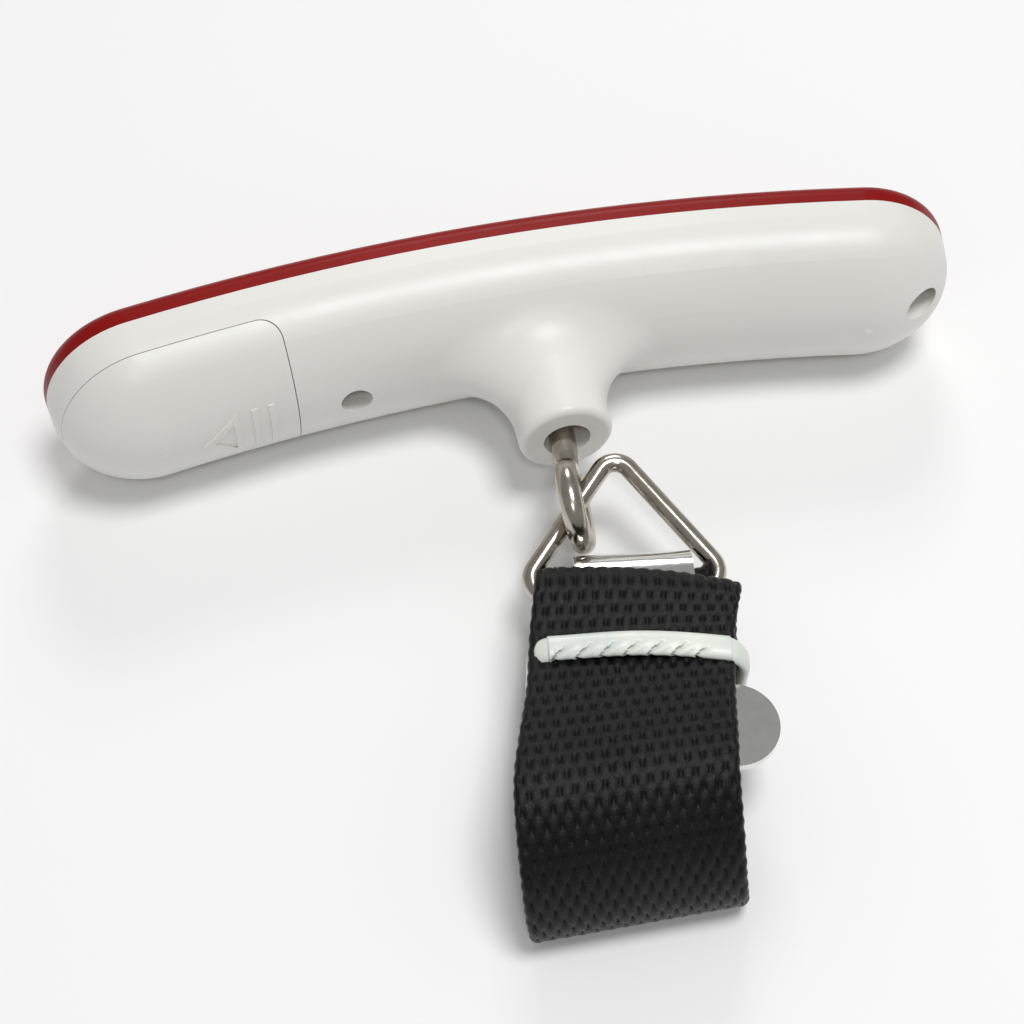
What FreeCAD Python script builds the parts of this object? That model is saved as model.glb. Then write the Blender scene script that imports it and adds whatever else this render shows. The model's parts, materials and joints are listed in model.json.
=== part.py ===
import FreeCAD, Part
import math
import os

# Digital luggage scale: a D-section handle lying on its side, with a load cell, a hook in a short
# neck, a triangular ring and a folded webbing belt. Millimetres. The row frame has +X along the
# handle, -Y down the neck and the belt, and +Z up from the surface that the scale lies on.
# Handle pieces are modelled about the top of the handle's arch, on the line where the two shells
# meet. There "depth" means distance from that line towards the neck, along -Y.

Vector = FreeCAD.Vector
DOC = FreeCAD.newDocument("LuggageScale")

SIZES = [
    ("handle_y", 45.24, "row Y of the handle's parting line at its middle"),
    ("half_width", 13.2, "half of the handle's width, and its height above the rest surface"),
    ("cap_centre", 52.2, "distance from the middle to the centre of each rounded end"),
    ("arch_radius", 307.0, "radius of the handle's gentle arch"),
    ("side_depth", 2.5, "straight side of the lower housing"),
    ("belly_depth", 10.9, "rounded part of the lower housing below its side"),
    ("belly_corner", 9.1, "corner radius of the lower housing's section"),
    ("housing_wall", 1.8, "wall of the lower housing"),
    ("rim_height", 1.3, "straight rim of the top cover"),
    ("crown_height", 3.4, "rounded part of the top cover above its rim"),
    ("crown_corner", 2.6, "corner radius of the top cover's section"),
    ("cover_wall", 1.5, "wall of the top cover"),
    ("neck_x", 3.9, "neck axis, off the middle to make room for the battery"),
    ("neck_depth", 26.8, "end of the neck"),
    ("neck_radius", 6.6, "outside of the neck's end"),
    ("neck_flare", 10.0, "fillet that flares the neck into the housing"),
    ("neck_rim", 1.0, "rounding of the neck's end"),
    ("bore_radius", 3.3, "mouth of the neck"),
    ("bush_radius", 4.2, "outside of the neck bush"),
    ("bush_bore", 2.3, "inside of the neck bush"),
    ("bush_top", 9.3, "depth of the bush's upper end"),
    ("bush_end", 23.0, "depth of the bush's lower end"),
    ("rod_radius", 1.75, "hook shank"),
    ("rod_top", 2.5, "depth of the shank's upper end"),
    ("lean_depth", 20.0, "depth at which the shank starts to lean"),
    ("lean_angle", 4.76, "degrees that the shank leans to the battery's side"),
    ("eye_reach", 17.67, "eye's centre from the start of the lean"),
    ("eye_radius", 5.1, "eye's centre-line radius"),
    ("eye_wire", 1.6, "eye's wire radius"),
    ("eye_turn", -12.7, "degrees that the eye is turned about the shank"),
    ("nut_flats", 6.6, "hook nut across flats"),
    ("nut_height", 2.4, "hook nut height"),
    ("washer_radius", 4.0, "thrust washer radius"),
    ("washer_height", 0.8, "thrust washer thickness"),
    ("beam_top", 6.0, "depth of the load cell's upper face"),
    ("beam_height", 3.0, "load cell thickness"),
    ("beam_length", 46.0, "load cell length"),
    ("beam_width", 12.0, "load cell width"),
    ("beam_hole", 1.82, "hole for the hook shank"),
    ("beam_slot", 5.0, "length of each thinned window in the load cell"),
    ("beam_bolt_x", 19.0, "load cell screws from its middle, along the handle"),
    ("beam_bolt_z", 3.2, "load cell screws from its middle, across the handle"),
    ("board_top", -1.2, "height of the circuit board's upper face"),
    ("board_height", 1.0, "circuit board thickness"),
    ("board_left", -21.6, "left end of the circuit board"),
    ("board_length", 52.6, "circuit board length"),
    ("board_width", 19.0, "circuit board width"),
    ("screen_x", -6.0, "middle of the display"),
    ("screen_length", 24.0, "display window length"),
    ("screen_width", 11.0, "display window width"),
    ("key_power_x", 14.0, "power button"),
    ("key_unit_x", 23.4, "unit button"),
    ("key_radius", 3.4, "button radius"),
    ("key_gap", 0.1, "clearance round a button"),
    ("key_flange", 4.1, "button flange radius"),
    ("key_foot", 1.1, "height of a button's underside"),
    ("key_proud", 0.6, "height of a button above the cover"),
    ("door_x", -32.7, "door's inner edge"),
    ("door_depth", 5.3, "depth of the door's long edge"),
    ("door_gap", 0.12, "clearance round the door"),
    ("door_corner", 3.0, "rounded corner of the door"),
    ("marks_x", -41.5, "arrow and bars on the door"),
    ("marks_z", -0.8, "their middle, below the handle's middle height"),
    ("cell_x", -46.6, "middle of the coin cell"),
    ("cell_radius", 10.0, "coin cell radius"),
    ("cell_height", 3.2, "coin cell thickness"),
    ("cell_depth", 2.2, "depth of the coin cell's inner face"),
    ("screw_mid_x", -24.2, "housing screw near the door"),
    ("screw_right_x", 60.4, "housing screw at the right end"),
    ("screw_right_z", 2.6, "that screw above the handle's middle height"),
    ("screw_left_x", -60.4, "housing screw under the door"),
    ("screw_bore", 2.25, "radius of a screw's recess"),
    ("screw_seat", 4.5, "depth of the ledge that a screw's head sits on"),
    ("seat_height", 1.5, "thickness of that ledge"),
    ("bar_x", 6.35, "middle of the ring's base bar"),
    ("bar_depth", 50.58, "depth of the ring's base bar"),
    ("bar_drop", -3.0, "base bar below the handle's middle height"),
    ("belt_yaw", -8.65, "degrees that ring and belt are turned from the neck"),
    ("ring_slope", 10.2, "degrees that the ring rises from its base bar to its apex"),
    ("ring_base", 29.8, "ring's base along its centre line"),
    ("ring_rise", 20.7, "ring's height along its centre line"),
    ("ring_wire", 1.28, "ring's wire radius"),
    ("ring_corner", 2.6, "centre-line radius of the base corners"),
    ("ring_apex", 2.4, "centre-line radius of the apex"),
    ("belt_width", 28.0, "webbing width"),
    ("belt_shift", -1.3, "middle of the folded belt from the base bar's middle"),
    ("belt_end", 43.6, "far end of the folded belt from the base bar"),
    ("belt_top", 10.8, "crest of the folded belt above the base bar"),
    ("loop_width", 19.0, "webbing loop on the base bar"),
    ("loop_inner", 1.4, "inside radius of that loop"),
    ("loop_outer", 2.9, "outside radius of that loop"),
    ("clip_height", 1.3, "clip plate thickness"),
    ("clip_reach", 1.15, "centre of the clip's hook from the base bar, towards the handle"),
    ("clip_inner", 3.0, "inside radius of the clip's hook"),
    ("clip_width", 15.6, "clip tongue width"),
    ("clip_shift", 1.0, "clip tongue off the belt's middle"),
    ("tab_near", 16.7, "near edge of the clip's base"),
    ("tab_width", 11.4, "length of the clip's base along the belt"),
    ("tab_left", -13.6, "left end of the clip's base"),
    ("tab_right", 16.9, "right end of the clip's base"),
    ("tie_start", 10.6, "tie band's near edge"),
    ("tie_width", 3.8, "tie band width"),
    ("tie_top", 8.9, "tie band's top above the base bar"),
    ("tie_height", 1.5, "tie band thickness"),
]


def make_sheet():
    sheet = DOC.addObject("Spreadsheet::Sheet", "Sizes")
    for row, (alias, value, meaning) in enumerate(SIZES, start=1):
        sheet.set("A%d" % row, alias)
        sheet.set("B%d" % row, str(value))
        sheet.setAlias("B%d" % row, alias)
        sheet.set("C%d" % row, meaning)
    DOC.recompute()
    return sheet


SHEET = make_sheet()
NODES = []


def size(alias):
    return float(SHEET.get(alias))


# ---------------------------------------------------------------- general helpers


def handle_spot(x=0.0, y=0.0, z=0.0):
    """A point of the handle's own frame in the row frame."""
    return Vector(x, size("handle_y") + y, size("half_width") + z)


def sub_part(node, obj, place=None):
    """Names a finished piece and, where it isn't bound already, puts it in the row frame."""
    obj.Label = node
    if place is not None:
        obj.Placement = place
    NODES.append(obj)
    return obj


def feature(node, shape, place=None):
    """A piece whose form has no plain feature: its shape comes from the functions below."""
    obj = DOC.addObject("Part::Feature", "Shape_" + node)
    obj.Shape = shape
    place = place or FreeCAD.Placement(handle_spot(), FreeCAD.Rotation())
    return sub_part(node, obj, place.multiply(shape.Placement))


def bind(obj, **expressions):
    for prop, expression in expressions.items():
        obj.setExpression(prop, expression)


def spot(obj, x="0", y="0", z="0", turn=None):
    """Binds an object's position to the sheet, after turning it."""
    if turn is not None:
        obj.Placement = FreeCAD.Placement(Vector(), turn)
    for axis, expression in zip("xyz", (x, y, z)):
        obj.setExpression("Placement.Base." + axis, expression)
    return obj


def handle_bound(obj, x="0", y="0", z="0", turn=None):
    """The same in the handle's own frame."""
    return spot(obj, x, "Sizes.handle_y + (%s)" % y, "Sizes.half_width + (%s)" % z, turn)


DOWN_NECK = FreeCAD.Rotation(Vector(1, 0, 0), 90)  # turns a cylinder's +Z to -Y


def box(name, length, width, height, x="0", y="0", z="0"):
    obj = DOC.addObject("Part::Box", name)
    bind(obj, Length=length, Width=width, Height=height)
    return spot(obj, x, y, z)


def rod(name, radius, length, x="0", y="0", z="0"):
    """A cylinder that runs down the neck from depth -y."""
    obj = DOC.addObject("Part::Cylinder", name)
    bind(obj, Radius=radius, Height=length)
    return spot(obj, x, y, z, DOWN_NECK)


def fused(name, *pieces):
    obj = DOC.addObject("Part::MultiFuse", name)
    obj.Shapes = list(pieces)
    return obj


def grouped(name, *pieces):
    obj = DOC.addObject("Part::Compound", name)
    obj.Links = list(pieces)
    return obj


def cut(name, base, *tools):
    obj = DOC.addObject("Part::Cut", name)
    obj.Base = base
    obj.Tool = tools[0] if len(tools) == 1 else grouped(name + "_tools", *tools)
    return obj


def solid_rod(radius, start, end, x=0.0, z=0.0):
    """A plain cylinder shape from one depth to another."""
    return Part.makeCylinder(radius, end - start, Vector(x, -start, z), Vector(0, -1, 0))


def solid_box(x0, x1, depth0, depth1, z0, z1):
    return Part.makeBox(x1 - x0, depth1 - depth0, z1 - z0, Vector(x0, -depth1, z0))


def on_arch(shape, x):
    """Moves a shape made at the middle of the handle along the arch, to the place at that x."""
    radius = size("arch_radius")
    moved = shape.copy()
    moved.rotate(Vector(0, -radius, 0), Vector(0, 0, 1), -math.degrees(math.asin(x / radius)))
    return moved


# ---------------------------------------------------------------- the arched D-section


def section_face(half_width, side, depth, corner, way, half):
    """Section of a shell: straight sides, corner arcs and a crown arc, all tangent.

    way is -1 towards the neck and +1 away from it. half keeps the side with z > 0, to turn into
    a rounded end.
    """
    crown = ((half_width - corner) ** 2 + depth**2 - corner**2) / (2 * (depth - corner))
    middle = side + depth - crown
    tilt = math.asin((half_width - corner) / (crown - corner))

    def point(z, n):
        return Vector(0, way * n, z)

    def on_corner(angle):
        return point(half_width - corner + corner * math.sin(angle), side + corner * math.cos(angle))

    def mirrored(p):
        return Vector(0, p.y, -p.z)

    top, start, join, bottom = point(half_width, 0), point(half_width, side), on_corner(tilt), point(0, side + depth)
    bend = on_corner((math.pi / 2 + tilt) / 2)
    edges = [Part.LineSegment(top, start), Part.Arc(start, bend, join)]
    if half:
        quarter = point(crown * math.sin(tilt / 2), middle + crown * math.cos(tilt / 2))
        edges += [Part.Arc(join, quarter, bottom), Part.LineSegment(bottom, Vector()), Part.LineSegment(Vector(), top)]
    else:
        edges += [Part.Arc(join, bottom, mirrored(join)), Part.Arc(mirrored(join), mirrored(bend), mirrored(start))]
        edges += [Part.LineSegment(mirrored(start), mirrored(top)), Part.LineSegment(mirrored(top), top)]
    return Part.Face(Part.Wire(Part.__sortEdges__([edge.toShape() for edge in edges])))


def arched(half_width, side, depth, corner, way):
    """The section carried along the arch and turned round both ends, as one solid."""
    radius = size("arch_radius")
    centre, up = Vector(0, -radius, 0), Vector(0, 0, 1)
    angle = math.degrees(math.asin(size("cap_centre") / radius))
    middle = section_face(half_width, side, depth, corner, way, False)
    middle.rotate(centre, up, -angle)
    pieces = [middle.revolve(centre, up, 2 * angle)]
    for end in (1, -1):
        cap = section_face(half_width, side, depth, corner, way, True)
        cap = cap.revolve(Vector(), Vector(0, 1, 0), end * 180)
        cap.rotate(centre, up, -end * angle)
        pieces.append(cap)
    return pieces[0].fuse(pieces[1:]).removeSplitter()


def belly(inset=0.0):
    """The lower housing's outside, drawn in by inset."""
    return arched(
        size("half_width") - inset, size("side_depth"), size("belly_depth") - inset, size("belly_corner") - inset, -1
    )


def crown(inset=0.0):
    """The top cover's outside, drawn in by inset."""
    return arched(
        size("half_width") - inset, size("rim_height"), size("crown_height") - inset, size("crown_corner") - inset, 1
    )


# ---------------------------------------------------------------- casing


def door_space(gap=0.0):
    """The space on the battery side of the door's two edges, drawn in by gap."""
    radius = size("arch_radius")
    reach, tall = 60.0, 40.0
    side = on_arch(Part.makeBox(reach, reach, tall, Vector(-reach - gap, -reach, -tall / 2)), size("door_x"))
    under = Part.makeCylinder(radius - size("door_depth") - gap, tall, Vector(0, -radius, -tall / 2))
    space = side.common(under)
    upright = [edge for edge in space.Edges if abs(edge.BoundBox.ZLength - tall) < 0.01]
    top = max(edge.BoundBox.YMax for edge in upright)
    corner = [edge for edge in upright if edge.BoundBox.YMax > top - 0.01]
    return space.makeFillet(size("door_corner"), corner)


def case_screws():
    """Places of the screws that hold the two shells together. The last is under the door."""
    return [
        (size("screw_mid_x"), 0),
        (size("screw_right_x"), size("screw_right_z")),
        (size("screw_left_x"), 0),
    ]


def screw_columns():
    """Columns in the lower housing, each with a ledge for a screw's head."""
    return [
        on_arch(solid_rod(size("screw_bore") + 1.1, size("screw_seat") - size("seat_height"), 16, 0, z), x)
        for x, z in case_screws()[:2]
    ]


def screw_recesses():
    shapes = [on_arch(solid_rod(1.15, 1, 8, 0, z), x) for x, z in case_screws()]
    for x, z in case_screws()[:2]:
        shapes.append(on_arch(solid_rod(size("screw_bore"), size("screw_seat"), 20, 0, z), x))
    return shapes


def beam_pedestals():
    """Two blocks on the housing's floor that carry the ends of the load cell."""
    seat = size("beam_top") + size("beam_height")
    half = size("beam_length") / 2
    blocks = []
    for way in (-1, 1):
        inner, outer = sorted((way * (half - 7.5), way * half))
        block = solid_box(size("neck_x") + inner, size("neck_x") + outer, seat, 16, -5.6, 5.6)
        for z in (-size("beam_bolt_z"), size("beam_bolt_z")):
            x = size("neck_x") + way * size("beam_bolt_x")
            block = block.cut(solid_rod(0.95, seat - 1, seat + 1.8, x, z))
        blocks.append(block)
    return blocks


def end_shelf(hollow):
    """Shelf in the left end that takes the third housing screw."""
    depth = size("screw_seat") - size("seat_height")
    shelf = on_arch(solid_box(-6, 2.4, depth, size("screw_seat"), -6, 6), size("screw_left_x"))
    return shelf.common(hollow)


def door_ledge():
    """Lip behind the door's inner edge, half fixed to the housing and half under the door."""
    reach = 2.0
    wall = size("housing_wall")
    strip = on_arch(solid_box(-reach, reach, 7.5, 16, -8, 8), size("door_x"))
    fixed = belly(wall).cut(belly(wall + 0.9)).common(on_arch(solid_box(0, reach, 7.5, 16, -8, 8), size("door_x")))
    free = belly(wall + 0.1).cut(belly(wall + 0.9)).common(strip)
    return fixed.fuse(free)


def lower_housing():
    outside = belly()
    neck = solid_rod(size("neck_radius"), 3, size("neck_depth"), size("neck_x"))
    body = outside.fuse(neck).removeSplitter()

    def on_neck(edge):
        points = [edge.valueAt(edge.FirstParameter + (edge.LastParameter - edge.FirstParameter) * k / 6) for k in range(7)]
        return all(
            abs(math.hypot(p.x - size("neck_x"), p.z) - size("neck_radius")) < 0.001 and -20 < p.y < -5 for p in points
        )

    body = body.makeFillet(size("neck_flare"), [edge for edge in body.Edges if on_neck(edge)])
    mouth = [edge for edge in body.Edges if edge.BoundBox.YMax < 0.5 - size("neck_depth")]
    body = body.makeFillet(size("neck_rim"), mouth)
    hollow = belly(size("housing_wall"))
    additions = screw_columns() + beam_pedestals()
    solid = body.cut(hollow).fuse([piece.common(outside) for piece in additions] + [end_shelf(hollow)])
    bore = solid_rod(size("bore_radius"), 5, 40, size("neck_x"))
    seat = solid_rod(size("bush_radius") + 0.02, 5, size("bush_end"), size("neck_x"))
    solid = solid.cut([bore, seat] + screw_recesses())
    solid = solid.cut(door_space())
    return solid.fuse(door_ledge()).removeSplitter()


def door_marks():
    """Raised outline arrow and two bars that show which way the door slides."""
    lift = 0.25
    layer = belly(-lift).cut(belly(0.2))
    tip, heel, half, line = -5.4, 0.0, 4.6, 0.8
    corners = [Vector(tip, 0, 0), Vector(heel, 0, half), Vector(heel, 0, -half), Vector(tip, 0, 0)]
    arrow = Part.Face(Part.makePolygon(corners))
    inner = [Vector(tip + 2 * line, 0, 0), Vector(heel - line, 0, half - 2.1 * line), Vector(heel - line, 0, 2.1 * line - half)]
    arrow = arrow.cut(Part.Face(Part.makePolygon(inner + [inner[0]])))
    prisms = [arrow.extrude(Vector(0, -30, 0))]
    for k in (1, 2):
        x = heel + 2.4 * k - 0.5
        prisms.append(solid_box(x, x + 0.9, 0, 30, -half, half))
    marks = []
    for prism in prisms:
        prism.translate(Vector(0, 0, size("marks_z")))
        marks.append(on_arch(prism, size("marks_x")).common(layer))
    return marks


def battery_door():
    shell = belly().cut(belly(size("housing_wall")))
    door = shell.common(door_space(size("door_gap")))
    ribs = [
        on_arch(solid_box(-7, 7, size("cell_depth") + size("cell_height") + 0.5, 14, z - 0.4, z + 0.4), size("cell_x"))
        for z in (-5, 5)
    ]
    return door.fuse([rib.common(belly(1)) for rib in ribs] + door_marks()).removeSplitter()


def top_cover():
    shell = crown().cut(crown(size("cover_wall")))
    tall = size("rim_height") + size("crown_height")
    bosses = []
    for x, z in case_screws():
        boss = solid_rod(2.2, -tall, size("screw_seat") - size("seat_height"), 0, z)
        bosses.append(on_arch(boss.cut(solid_rod(0.95, -2.0, 10, 0, z)), x))
    for x, z in board_screw_spots():
        bosses.append(solid_rod(1.7, -tall, -size("board_top"), x, z).cut(solid_rod(0.7, -1.7, 5, x, z)))
    for boss in bosses:
        trimmed = boss.common(solid_box(-80, 80, 0, 20, -20, 20)).fuse(boss.common(crown()))
        shell = shell.fuse(trimmed)
    shell = shell.cut(screen_opening())
    for x in (size("key_power_x"), size("key_unit_x")):
        shell = shell.cut(solid_rod(size("key_radius") + size("key_gap"), -10, 0, x))
    return shell.removeSplitter()


def screen_opening():
    half, wide = size("screen_length") / 2, size("screen_width") / 2
    opening = solid_box(size("screen_x") - half, size("screen_x") + half, -10, 0, -wide, wide)
    uprights = [edge for edge in opening.Edges if edge.BoundBox.YLength > 5]
    return opening.makeFillet(1.5, uprights)


def housing_screws():
    """Three identical self-tapping screws with pan heads."""
    screws = []
    for x, z in case_screws():
        head = solid_rod(1.9, size("screw_seat"), size("screw_seat") + 1.3)
        rim = [edge for edge in head.Edges if edge.BoundBox.YMax < -size("screw_seat") - 1.2]
        head = head.makeFillet(0.5, rim)
        slots = [solid_box(-1.1, 1.1, size("screw_seat") + 0.6, 9, -0.25, 0.25)]
        slots.append(solid_box(-0.25, 0.25, size("screw_seat") + 0.6, 9, -1.1, 1.1))
        screw = head.cut(slots).fuse(solid_rod(0.94, -1.6, size("screw_seat"))).removeSplitter()
        screw.translate(Vector(0, 0, z))
        screws.append(on_arch(screw, x))
    return Part.makeCompound(screws)


def make_casing():
    feature("lower_housing", lower_housing())
    feature("battery_door", battery_door())
    feature("top_cover", top_cover())
    feature("display_window", crown().cut(crown(size("cover_wall"))).common(screen_opening()))
    feature("housing_screws", housing_screws())
    bush = cut(
        "BushCut",
        rod("BushOutside", "Sizes.bush_radius", "Sizes.bush_end - Sizes.bush_top"),
        rod("BushInside", "Sizes.bush_bore", "Sizes.bush_end + 10", y="1"),
    )
    sub_part("neck_bush", handle_bound(bush, x="Sizes.neck_x", y="-Sizes.bush_top"))


# ---------------------------------------------------------------- display, board and buttons


def board_screw_spots():
    return [(10.4, 7.6), (10.4, -7.6), (28.8, 6.4), (28.8, -6.4)]


def make_board():
    import Sketcher

    body = DOC.addObject("PartDesign::Body", "BoardBody")
    plane = next(item for item in body.Origin.OriginFeatures if item.Role == "XZ_Plane")

    def rectangle(sketch, left, low, length, width):
        corners = [Vector(0, 0, 0), Vector(1, 0, 0), Vector(1, 1, 0), Vector(0, 1, 0)]
        first = len(sketch.Geometry)
        for k in range(4):
            sketch.addGeometry(Part.LineSegment(corners[k], corners[(k + 1) % 4]), False)
        for k in range(4):
            sketch.addConstraint(Sketcher.Constraint("Coincident", first + k, 2, first + (k + 1) % 4, 1))
            kind = "Horizontal" if k % 2 == 0 else "Vertical"
            sketch.addConstraint(Sketcher.Constraint(kind, first + k))
        limits = [("DistanceX", (-1, 1, first, 1), left), ("DistanceY", (-1, 1, first, 1), low)]
        limits += [("DistanceX", (first, 1, first, 2), length), ("DistanceY", (first + 1, 1, first + 1, 2), width)]
        for kind, where, expression in limits:
            index = sketch.addConstraint(Sketcher.Constraint(kind, *where, 1.0))
            sketch.setExpression("Constraints[%d]" % index, expression)

    outline = body.newObject("Sketcher::SketchObject", "BoardOutline")
    outline.AttachmentSupport = [(plane, "")]
    outline.MapMode = "FlatFace"
    rectangle(outline, "Sizes.board_left", "-Sizes.board_width / 2", "Sizes.board_length", "Sizes.board_width")
    pad = body.newObject("PartDesign::Pad", "BoardPad")
    pad.Profile = outline
    pad.setExpression("Length", "Sizes.board_height")
    holes = body.newObject("Sketcher::SketchObject", "BoardHoles")
    holes.AttachmentSupport = [(plane, "")]
    holes.MapMode = "FlatFace"
    for x, z in board_screw_spots():
        index = holes.addGeometry(Part.Circle(Vector(x, z, 0), Vector(0, 0, 1), 0.9), False)
        holes.addConstraint(Sketcher.Constraint("Radius", index, 0.9))
        holes.addConstraint(Sketcher.Constraint("DistanceX", -1, 1, index, 3, x))
        holes.addConstraint(Sketcher.Constraint("DistanceY", -1, 1, index, 3, z))
    DOC.recompute()
    full = pad.Shape.Volume
    pocket = body.newObject("PartDesign::Pocket", "BoardPocket")
    pocket.Profile = holes
    pocket.Type = "ThroughAll"
    pocket.Midplane = True
    DOC.recompute()
    if not pocket.Shape.Volume < full - 1:
        raise RuntimeError("the board's holes cut nothing")
    # The pad grows from the board's own plane towards -Y.
    top = "Sizes.board_top" if pad.Shape.BoundBox.YMax < 0.01 else "Sizes.board_top - Sizes.board_height"
    sub_part("circuit_board", handle_bound(body, y=top))


def make_display():
    long, wide = "Sizes.screen_length + 2", "Sizes.screen_width + 3"
    panel = box("PanelGlass", long, "1.7", wide, "-(%s) / 2" % long, "0", "-(%s) / 2" % wide)
    step = box("PanelStep", "Sizes.screen_length - 2", "0.8", "2.2", "1 - Sizes.screen_length / 2", "0.9", "-20")
    panel = cut("PanelCut", panel, step)
    sub_part("lcd_panel", handle_bound(panel, x="Sizes.screen_x", y="0.4"))

    outer = box("FrameOuter", long + " + 3", "3.2", wide + " + 3", "-(%s + 3) / 2" % long, "0", "-(%s + 3) / 2" % wide)
    inner = box(
        "FrameInner", long + " + 0.1", "9", wide + " + 0.1", "-(%s + 0.1) / 2" % long, "-1", "-(%s + 0.1) / 2" % wide
    )
    sub_part("lcd_frame", handle_bound(cut("FrameCut", outer, inner), x="Sizes.screen_x", y="Sizes.board_top"))

    zebra = DOC.addObject("Part::Box", "ZebraStrip")
    bind(zebra, Length=long + " - 3", Width="0.4 - Sizes.board_top", Height="2")
    half = "Sizes.screen_x - (%s - 3) / 2" % long
    sub_part("zebra_strip", handle_bound(zebra, x=half, y="Sizes.board_top", z="Sizes.screen_width / 2 - 1"))

    blob = DOC.addObject("Part::Cone", "ChipBlob")
    bind(blob, Radius1="4", Radius2="2.2", Height="0.9")
    under = "Sizes.board_top - Sizes.board_height"
    sub_part("chip_blob", handle_bound(blob, x="-13.5", y=under, z="1.5", turn=DOWN_NECK))

    screws = []
    for number, (x, z) in enumerate(board_screw_spots()):
        head = rod("BoardHead%d" % number, "1.3", "0.8", x=str(x), z=str(z))
        stem = rod("BoardStem%d" % number, "0.69", "2.2", x=str(x), y="2.2", z=str(z))
        screws.append(fused("BoardScrew%d" % number, head, stem))
    sub_part("board_screws", handle_bound(grouped("BoardScrews", *screws), y=under))


def make_keys():
    switches = []
    for name, place in (("power", "Sizes.key_power_x"), ("unit", "Sizes.key_unit_x")):
        base = box("Switch_" + name, "6", "1.8", "6", place + " - 3", "0", "-3")
        well = rod("Well_" + name, "1.8", "0.9", x=place, y="1.8")
        switches.append(cut("SwitchBody_" + name, base, well))
        plunger = rod("Plunger_" + name, "1.7", "0.8")
        sub_part("plunger_" + name, handle_bound(plunger, x=place, y="Sizes.key_foot", turn=DOWN_NECK))
    sub_part("tact_switches", handle_bound(grouped("Switches", *switches), y="Sizes.board_top"))
    cap_top = crown(-size("key_proud"))
    for name in ("power", "unit"):
        x = size("key_%s_x" % name)
        stem = solid_rod(size("key_radius"), -10, -size("key_foot"), x).common(cap_top)
        rim = [edge for edge in stem.Edges if edge.BoundBox.YMin > 3.3]
        stem = stem.makeFillet(0.4, rim)
        flange = solid_rod(size("key_flange"), -size("key_foot") - 0.6, -size("key_foot"), x)
        feature("button_" + name, stem.fuse(flange).removeSplitter())


# ---------------------------------------------------------------- weighing parts


def make_load_cell():
    beam = box(
        "BeamBar", "Sizes.beam_length", "Sizes.beam_height", "Sizes.beam_width",
        "-Sizes.beam_length / 2", "-Sizes.beam_height", "-Sizes.beam_width / 2",
    )
    tools = [rod("BeamHole", "Sizes.beam_hole", "20", y="5")]
    for side, way in (("Left", -1), ("Right", 1)):
        # A window under each gauge leaves the thin webs that bend.
        centre = "%d * 9.5" % way
        tools.append(
            box(
                "BeamWindow" + side, "Sizes.beam_slot", "20", "Sizes.beam_width - 7",
                centre + " - Sizes.beam_slot / 2", "-21.2", "3.5 - Sizes.beam_width / 2",
            )
        )
        for number, bolt_z in enumerate(("-Sizes.beam_bolt_z", "Sizes.beam_bolt_z")):
            bolt_x = "%d * Sizes.beam_bolt_x" % way
            tools.append(rod("BeamBolt%s%d" % (side, number), "1.1", "20", x=bolt_x, y="5", z=bolt_z))
    place = dict(x="Sizes.neck_x", y="-Sizes.beam_top")
    sub_part("load_cell", handle_bound(cut("BeamCut", beam, *tools), **place))

    screws, gauges = [], []
    for side, way in (("Left", -1), ("Right", 1)):
        for number, bolt_z in enumerate(("-Sizes.beam_bolt_z", "Sizes.beam_bolt_z")):
            bolt_x = "%d * Sizes.beam_bolt_x" % way
            head = rod("CellHead%s%d" % (side, number), "1.75", "1.2", x=bolt_x, y="1.2", z=bolt_z)
            stem = rod("CellStem%s%d" % (side, number), "0.94", "Sizes.beam_height + 1.6", x=bolt_x, z=bolt_z)
            screws.append(fused("CellScrew%s%d" % (side, number), head, stem))
        gauges.append(box("Gauge" + side, "5.4", "0.25", "4", "%d * 9.5 - 2.7" % way, "0", "-2"))
    sub_part("load_cell_screws", handle_bound(grouped("CellScrews", *screws), **place))
    sub_part("strain_gauges", handle_bound(grouped("Gauges", *gauges), **place))

    rise = "Sizes.beam_top + Sizes.board_top - Sizes.board_height - 0.25"
    lower = box("RibbonFoot", "2.2", "0.2", "3", "0", "0", "-1.5")
    riser = box("RibbonRise", "0.2", rise, "3", "2", "0", "-1.5")
    upper = box("RibbonHead", "2.2", "0.2", "3", "2", rise + " - 0.2", "-1.5")
    ribbon = fused("Ribbon", lower, riser, upper)
    sub_part("gauge_ribbon", handle_bound(ribbon, x="Sizes.neck_x - 11", y="0.25 - Sizes.beam_top"))


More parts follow.
